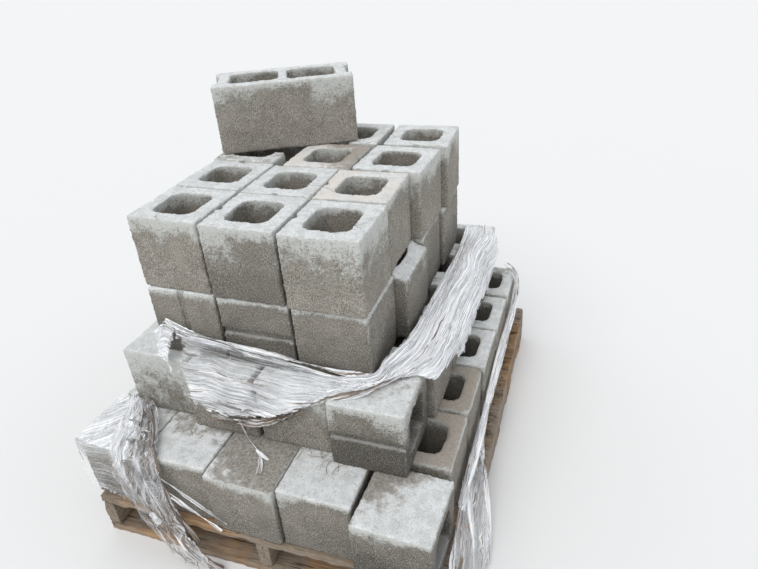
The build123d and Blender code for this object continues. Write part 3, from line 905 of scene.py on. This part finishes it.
def dress_tiers(kinds):
    group = block_tree(kinds)
    random = np.random.default_rng(4)
    for tier, looks in TIERS.items():
        columns, rows = looks["count"]
        for row in range(1, rows + 1):
            grouped = []
            for column in range(1, columns + 1):
                entry = block_entry(tier, row, column, random)
                if tier == "top_tier":
                    side = ("left", "middle", "right")[column - 1]
                    entry.setdefault("node", f"top_tier_row_{row}_{side}_block")
                if "node" in entry:
                    dress_blocks(entry["node"], group, [entry])
                else:
                    grouped.append(entry)
            if grouped:
                dress_blocks(f"{tier}_row_{row}_blocks", group, grouped)
    across, deep = middle_of(*FULL_CORNER, FULL_TURN, FULL_LENGTH, BLOCK)
    height = tier_foot("top_tier") + BLOCK + HALF
    dress_blocks("two_core_block", group, [{
        "kind": KINDS.index("full"), "centre": Vector((across, deep, height)) * MM,
        "turn": (0, 0, radians(FULL_TURN)), "heading": radians(FULL_TURN),
        "tint": 0.2, "warm": 0.0, "frosty": 0.75, "damp": 0.10, "dirt": (0, 0, 0.12),
        "span": FULL_LENGTH / 2 * MM}])


def timber_tree():
    """Sets a sawn timber on each point, a little bowed, with worn arrises."""
    group, grow, wires, end = geometry_tree("sawn_timber", BOARD_WOOD, [
        ("Size", "Vector", (1.0, 0.14, 0.025)),
        ("Loops X", "Int", 70),
        ("Loops Y", "Int", 12),
        ("Loops Z", "Int", 4),
        ("Wear", "Float", 0.7),
        ("Seed", "Float", 0.0),
    ])
    timber = grow.add("GeometryNodeMeshCube", {
        "Size": wires["Size"], "Vertices X": wires["Loops X"], "Vertices Y": wires["Loops Y"],
        "Vertices Z": wires["Loops Z"]})
    solid = grow.on_points(wires["Geometry"], timber)
    place = grow.add("GeometryNodeInputPosition")
    share = 0.10 + wires["Wear"] * grow.rise(grow.noise(place, 24.0 + wires["Seed"]), 0.40, 0.66)
    solid = grow.moved(solid, grow.scaled(grow.inward(place, 3), share))
    sway = grow.add("ShaderNodeTexNoise", {
        "Vector": place, "Scale": 5.0 + 0.3 * wires["Seed"], "Detail": 2.0}, "Color")
    sway = grow.vector("SUBTRACT", sway, (0.5, 0.5, 0.5))
    end(grow.moved(solid, grow.stretch(sway, 0.008, 0.008, 0.0016)))
    return group


def dress_timber(node, group, centre, size, loops, finish, seed):
    """Replaces one of the pallet's timbers."""
    piece = new_piece(f"worn_{node}", [Vector(centre) * MM])
    counts = {f"Loops {axis}": count for axis, count in zip("XYZ", loops)}
    grown(piece, group, {"Size": [s * MM for s in size], "Seed": seed, "Finish": finish,
                         **counts})
    smooth(piece, SHARP_TIMBER)
    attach(piece, "root")
    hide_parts(node)


def build_pallet():
    """Three stringers, with boards across them above and below, and the nails' heads."""
    group = timber_tree()
    reach = (PALLET_WIDTH - STRINGER_WIDTH) / 2
    for number, side in enumerate(("left", "middle", "right")):
        dress_timber(f"pallet_{side}_stringer", group,
                     ((number - 1) * reach, 0, BOARD_THICKNESS + STRINGER_HEIGHT / 2),
                     (STRINGER_WIDTH, PALLET_LENGTH, STRINGER_HEIGHT), STRINGER_LOOPS,
                     STRINGER_WOOD, 1.0 + number)
    nails = []
    for level, z, seed in (("top", DECK_TOP - BOARD_THICKNESS / 2, 5.0),
                           ("bottom", BOARD_THICKNESS / 2, 14.0)):
        count = BOARD_COUNTS[level]
        pitch = (PALLET_LENGTH - BOARD_WIDTH) / (count - 1)
        for number in range(count):
            y = number * pitch - (PALLET_LENGTH - BOARD_WIDTH) / 2
            dress_timber(f"pallet_{level}_board_{number + 1}", group, (0, y, z),
                         (PALLET_WIDTH, BOARD_WIDTH, BOARD_THICKNESS), BOARD_LOOPS,
                         BOARD_WOOD, seed + number)
            if level == "top":
                nails += [(reach + NAIL_STAGGER * (-1) ** number, y + across,
                           DECK_TOP - NAIL_SUNK) for across in NAIL_SPOTS]
    group, grow, wires, end = geometry_tree("nail_heads", RUST, [
        ("Radius", "Float", 0.0042),
        ("Depth", "Float", 0.002),
    ])
    head = grow.add("GeometryNodeMeshCylinder", {
        "Vertices": 10, "Radius": wires["Radius"], "Depth": wires["Depth"]})
    end(grow.on_points(wires["Geometry"], head))
    piece = new_piece("pallet_nail_heads", [Vector(p) * MM for p in nails])
    grown(piece, group)
    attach(piece, "root")


def build_stems():
    """Dry stems and needles, caught on the ledges and behind the gathered film."""
    random = np.random.default_rng(12)
    points, edges = [], []
    for middle, spread, count, (short, long) in HEAPS:
        across = 0.35 if spread[0] < 10 else 1.0
        for _ in range(count):
            heading = random.uniform(0, 2 * pi)
            start = np.array(middle) + random.uniform(-1, 1, 3) * spread
            length = random.uniform(short, long)
            bend = random.uniform(-1.6, 1.6)
            rise = random.uniform(0.0, 0.25)
            for k in range(STEM_PARTS + 1):
                if k:
                    edges.append((len(points) - 1, len(points)))
                points.append(Vector(start) * MM)
                heading += bend / STEM_PARTS
                ahead = np.array([across * cos(heading), sin(heading), rise])
                start = start + length / STEM_PARTS * ahead
    group, grow, wires, end = geometry_tree("dry_stems", STRAW, [("Radius", "Float", 0.0006)])
    line = grow.add("GeometryNodeMeshToCurve", {"Mesh": wires["Geometry"]})
    ring = grow.add("GeometryNodeCurvePrimitiveCircle", {
        "Resolution": 4, "Radius": wires["Radius"]})
    solid = grow.add("GeometryNodeCurveToMesh", {
        "Curve": line, "Profile Curve": ring, "Fill Caps": True})
    end(grow.add("GeometryNodeRealizeInstances", {"Geometry": solid}))
    piece = new_piece("dry_stems", points, edges)
    grown(piece, group)
    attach(piece, "root")


def speckle(u, v, cells, seed):
    """Smooth noise from -1 to 1 over a sheet whose sides run from 0 to 1."""
    grid = np.random.default_rng(seed).uniform(-1, 1, (cells[0] + 2, cells[1] + 2))
    x, y = u * cells[0], v * cells[1]
    i, j = x.astype(int), y.astype(int)
    fx, fy = x - i, y - j
    fx, fy = fx * fx * (3 - 2 * fx), fy * fy * (3 - 2 * fy)
    near = grid[i, j] * (1 - fx) + grid[i + 1, j] * fx
    far = grid[i, j + 1] * (1 - fx) + grid[i + 1, j + 1] * fx
    return near * (1 - fy) + far * fy


def through(points, count):
    """A smooth run of count points through the given ones, along the first axis."""
    points = np.asarray(points, dtype=float)
    ends = np.concatenate([[2 * points[0] - points[1]], points, [2 * points[-1] - points[-2]]])
    t = np.linspace(0, len(points) - 1, count)
    i = np.minimum(t.astype(int), len(points) - 2)
    f = (t - i).reshape((-1,) + (1,) * (points.ndim - 1))
    a, b, c, d = ends[i], ends[i + 1], ends[i + 2], ends[i + 3]
    return b + 0.5 * f * (c - a + f * (2 * a - 5 * b + 4 * c - d + f * (3 * (b - c) + d - a)))


def wrinkled(stations, size, folds, seed, torn=(0.0, 0.0), lift=1.0, ends=(0.0, 0.0),
             outward=1, gather=0.4, soil=0.2, holes=()):
    """One layer of film through stations of points, from its upper edge to its lower.
    Folds run lengthways. Torn is how far each long edge is torn in, as a share. Gather
    and soil say how thickly the film is bunched and how brown it is, for all of it or
    for each point, and a hole is its place and reach along and across."""
    along, across = size
    stations = np.asarray(stations, dtype=float)
    thick = np.broadcast_to(np.asarray(gather, dtype=float), stations.shape[:2])
    thick = through(through(thick, along).T, across).T
    grid = through(stations, along)
    grid = through(grid.swapaxes(0, 1), across).swapaxes(0, 1)
    u, v = np.meshgrid(np.linspace(0, 1, along), np.linspace(0, 1, across), indexing="ij")
    normal = np.cross(np.gradient(grid, axis=0), np.gradient(grid, axis=1))
    normal /= np.maximum(np.linalg.norm(normal, axis=2, keepdims=True), 1e-9)
    skew = np.clip(v + 0.05 * speckle(u, v, (5, 3), seed + 5), 0, 1)
    height = sum(depth * (0.75 - abs(speckle(u, skew, (n, m), seed + k)))
                 for k, (n, m, depth) in enumerate(folds))
    grid = grid + outward * normal * (height + lift)[..., None]
    step = np.linalg.norm(np.diff(grid, axis=0), axis=2).mean(axis=1)
    lengths = np.concatenate([[0], np.cumsum(step)]) * MM
    step = np.linalg.norm(np.diff(grid, axis=1), axis=2)
    widths = np.concatenate([np.zeros((along, 1)), np.cumsum(step, axis=1)], axis=1) * MM
    rag = (0.50 * speckle(u, v, (22, 2), seed + 11) + 0.3 * speckle(u, v, (80, 3), seed + 12)
           + 0.2 * speckle(u, v, (200, 4), seed + 13) + 1) / 2
    hem = (0.6 * speckle(v, u, (18, 2), seed + 14) + 0.4 * speckle(v, u, (60, 3), seed + 15)
           + 1) / 2
    upper, lower = v - torn[0] * rag, 1 - torn[1] * rag - v
    first, last = u - ends[0] * hem, 1 - ends[1] * hem - u
    margin = np.minimum(np.minimum(upper, lower) / FRAYED_ACROSS,
                        np.minimum(first, last) / FRAYED_ALONG)
    for at_u, at_v, reach_u, reach_v in holes:
        away = ((u - at_u) / reach_u) ** 2 + ((v - at_v) / reach_v) ** 2
        margin = np.minimum(margin, away - 1 - 0.6 * speckle(u, v, (90, 14), seed + 17))
    rolled = np.clip(1 - np.minimum(abs(upper), abs(lower)) / ROLLED_EDGE, 0, 1)
    thick = np.clip(thick + 0.45 * rolled, 0, 1)
    return {"grid": grid * MM, "keep": margin >= 0, "along": lengths, "across": widths,
            "gather": thick, "soil": np.full(thick.shape, soil),
            "margin": np.clip(margin, 0, 1)}


def twisted(route, wide, twist, seed, count, soil, flat=0.6):
    """A narrow swath of film, twisted along a route. Flat is how much of its width
    stands up as it turns."""
    route = through(route, 50)
    turn = np.linspace(0, twist, len(route)) + seed
    ahead = np.gradient(route, axis=0)
    ahead /= np.linalg.norm(ahead, axis=1, keepdims=True)
    level = np.cross(ahead, (0.0, 0.0, 1.0))
    level /= np.maximum(np.linalg.norm(level, axis=1, keepdims=True), 1e-6)
    steep = np.cross(level, ahead)
    side = wide * (level * np.cos(turn)[:, None] + flat * steep * np.sin(turn)[:, None])
    band = np.stack([route - side, route - 0.35 * side, route + 0.35 * side, route + side], 1)
    return wrinkled(band, (count, 12), [(count // 9, 4, 0.35 * wide)], seed, lift=0.0,
                    gather=0.9, soil=soil)


def sheet_piece(name, layers, node):
    """Joins layers of film into one piece, which replaces a CAD node."""
    faces, first = [], 0
    values = {"grid": [], "weave": [], "gather": [], "soil": [], "margin": []}
    corners = np.s_[:-1, :-1], np.s_[1:, :-1], np.s_[1:, 1:], np.s_[:-1, 1:]
    for number, layer in enumerate(layers):
        keep = layer["keep"]
        index = np.arange(keep.size).reshape(keep.shape) + first
        whole = np.logical_and.reduce([keep[corner] for corner in corners])
        faces.append(np.stack([index[corner] for corner in corners], -1)[whole])
        first += keep.size
        along = np.broadcast_to(layer["along"][:, None], keep.shape) + WEAVE_STEP[0] * number
        across = layer["across"] + WEAVE_STEP[1] * number
        layer["weave"] = np.stack([along, across, np.zeros(keep.shape)], -1)
        for label, found in values.items():
            found.append(layer[label].reshape(keep.size, *layer[label].shape[2:]))
    used, faces = np.unique(np.concatenate(faces), return_inverse=True)
    values = {label: np.concatenate(found)[used] for label, found in values.items()}
    piece = new_piece(name, values.pop("grid").tolist(), [], faces.reshape(-1, 4).tolist())
    for label, found in values.items():
        add_attribute(piece, label, found)
    piece.data.materials.append(FILM)
    piece.data.shade_smooth()
    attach(piece, "root")
    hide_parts(node)
    return piece


def build_upper_film():
    """It rises in a torn tent at the left, crosses the second tier's front, turns the
    corner over the lying block and runs back along the right side."""
    gather = 3 * [[0.7, 0.5, 0.5, 0.6, 0.6]] + [
        [0.9, 0.3, 0.2, 0.5, 0.6], [0.8, 0.2, 0.25, 0.6, 0.4], [0.7, 0.15, 0.3, 0.5, 0.3],
        [0.6, 0.12, 0.2, 0.3, 0.6], [0.6, 0.12, 0.2, 0.4, 0.8], [0.7, 0.2, 0.3, 0.5, 0.9],
        [0.8, 0.6, 0.5, 0.6, 0.9], [0.9, 0.8, 0.6, 0.7, 0.9]] + 10 * [
        [0.7, 0.7, 0.85, 0.75, 0.85]]
    folds = [(7, 9, 7.0), (12, 24, 4.0), (22, 60, 2.2)]
    holes = [(0.155, 0.50, 0.032, 0.36), (0.075, 0.97, 0.06, 0.10), (0.160, 0.96, 0.052, 0.42),
             (0.222, 0.97, 0.007, 0.14), (0.238, 0.99, 0.008, 0.10), (0.266, 0.99, 0.010, 0.08)]
    layers = [
        wrinkled(UPPER_FILM, (420, 84), folds, 21, torn=(0.03, 0.14), lift=1.5,
                 ends=(0.02, 0.02), outward=-1, gather=gather, holes=holes),
        wrinkled(UPPER_FILM, (420, 84), folds, 37, torn=(0.10, 0.22), lift=3.5,
                 ends=(0.03, 0.03), outward=-1, gather=gather,
                 holes=holes + [(0.30, 0.35, 0.06, 0.2)]),
    ] + [twisted(*strand) for strand in UPPER_STRANDS]
    piece = sheet_piece("torn_upper_film", layers, "upper_stretch_film")


def build_left_film():
    """It covers the bottom tier's front left corner, and a twisted swath of it falls
    over the front to the floor."""
    layers = [
        wrinkled(LEFT_COVER, (130, 100), [(5, 8, 4.0), (12, 26, 2.0)], 51, torn=(0.25, 0.1),
                 lift=0.5, ends=(0.10, 0.0), gather=0.55, soil=0.05),
        wrinkled(LEFT_FRONT, (130, 90), [(7, 7, 5.0), (16, 22, 2.5)], 61, torn=(0.0, 0.22),
                 lift=1.0, outward=-1, gather=0.15, soil=0.15),
        wrinkled(LEFT_FALL, (280, 96), [(6, 8, 14.0), (10, 22, 7.0), (20, 60, 3.0)], 71,
                 torn=(0.12, 0.10), lift=2.0, ends=(0.0, 0.05),
                 gather=3 * [[0.6, 0.5, 0.3, 0.2, 0.5]] + 7 * [[0.4, 0.0, 0.05, 0.1, 0.5]],
                 soil=0.30),
        wrinkled(LEFT_FALL[:6], (160, 70), [(7, 6, 12.0), (12, 20, 6.0)], 83,
                 torn=(0.10, 0.9), lift=8.0, ends=(0.05, 0.4), gather=0.45, soil=0.05),
    ] + [twisted(*strand) for strand in LEFT_STRANDS]
    piece = sheet_piece("torn_lower_left_film", layers, "lower_left_stretch_film")


def build_right_film():
    """Strands of film pulled along the right side, whose end hangs over the pallet's edge
    as a curtain and fans out on the floor."""
    layers = []
    for number, (out, up, wide, soil) in enumerate((
            (1, 13, 10, 0.10), (4, 3, 12, 0.35), (2, -8, 11, 0.12), (5, -17, 8, 0.30))):
        route = np.array(RIGHT_ROPE, dtype=float) + np.array([out, 0, up])
        layers.append(twisted(route, wide, 6.0 + 2 * number, 101 + number, 330, soil, 0.9))
    layers += [
        wrinkled(RIGHT_FAN, (230, 100), [(4, 8, 10.0), (8, 24, 5.0), (16, 64, 2.5)], 111,
                 torn=(0.04, 0.08), lift=1.0, ends=(0.0, 0.04), outward=-1,
                 gather=[[0.7, 0.3, 0.3, 0.6]] * 9, soil=0.20),
        wrinkled(RIGHT_FAN, (200, 80), [(5, 6, 9.0), (9, 20, 5.0)], 117,
                 torn=(0.25, 0.3), lift=6.0, ends=(0.0, 0.12), outward=-1, gather=0.15,
                 soil=0.15),
    ]
    layers += [twisted(*strand) for strand in RIGHT_STRANDS]
    piece = sheet_piece("torn_lower_right_film", layers, "lower_right_stretch_film")


def set_camera():
    """It stands as the photographer did: right of the load, above it, looking down."""
    yaw, pitch, roll = (radians(angle) for angle in CAMERA_ANGLES)
    ahead = Vector((sin(yaw) * cos(pitch), cos(yaw) * cos(pitch), -sin(pitch)))
    level = Vector((cos(yaw), -sin(yaw), 0))
    steep = ahead.cross(level)
    right = cos(roll) * level + sin(roll) * steep
    down = -sin(roll) * level + cos(roll) * steep
    lens = bpy.data.cameras.new("camera")
    lens.sensor_width = SENSOR_WIDTH
    lens.lens = FOCAL_LENGTH
    camera = link("camera", lens)
    turn = Matrix((right, -down, -ahead)).transposed()
    camera.matrix_world = Matrix.Translation(CAMERA_PLACE) @ turn.to_4x4()
    bpy.context.scene.camera = camera


def set_light():
    """A bright overcast sky, which looks paler than it shines, and a soft sun."""
    scene = bpy.context.scene
    scene.view_settings.view_transform = "Standard"
    scene.world = bpy.data.worlds.new("overcast")
    scene.world.use_nodes = True
    scene.world.node_tree.nodes.clear()
    sky = Tree(scene.world.node_tree)
    seen, through_film, mirrored = (
        sky.add("ShaderNodeLightPath", output=f"Is {ray} Ray")
        for ray in ("Camera", "Transmission", "Glossy"))
    color = sky.mix(seen.most(through_film).most(mirrored), (0.74, 0.77, 0.81, 1),
                    (0.93, 0.93, 0.93, 1))
    glow = sky.add("ShaderNodeBackground", {"Color": color, "Strength": 1.0})
    sky.add("ShaderNodeOutputWorld", {"Surface": glow})
    sun = bpy.data.lights.new("bright_cloud", "SUN")
    sun.energy = 1.4
    sun.angle = radians(50)
    sun.color = (1.0, 0.98, 0.95)
    lamp = link("bright_cloud", sun)
    lamp.rotation_euler = (radians(28), radians(-18), radians(20))


def set_floor():
    reach = 30.0
    corners = [(x * reach, y * reach, 0) for x, y in ((-1, -1), (1, -1), (1, 1), (-1, 1))]
    floor = new_piece("floor", corners, [], [(0, 1, 2, 3)])
    material, shade = new_material("pale_floor")
    finish_material(shade, (0.80, 0.80, 0.79, 1), 0.9)
    floor.data.materials.append(material)


set_camera()
set_light()
set_floor()
kinds = build_kinds()
dress_tiers(kinds)
for kind_piece in list(kinds.objects):
    bpy.data.objects.remove(kind_piece)
bpy.data.collections.remove(kinds)
build_pallet()
build_upper_film()
build_left_film()
build_right_film()
build_stems()
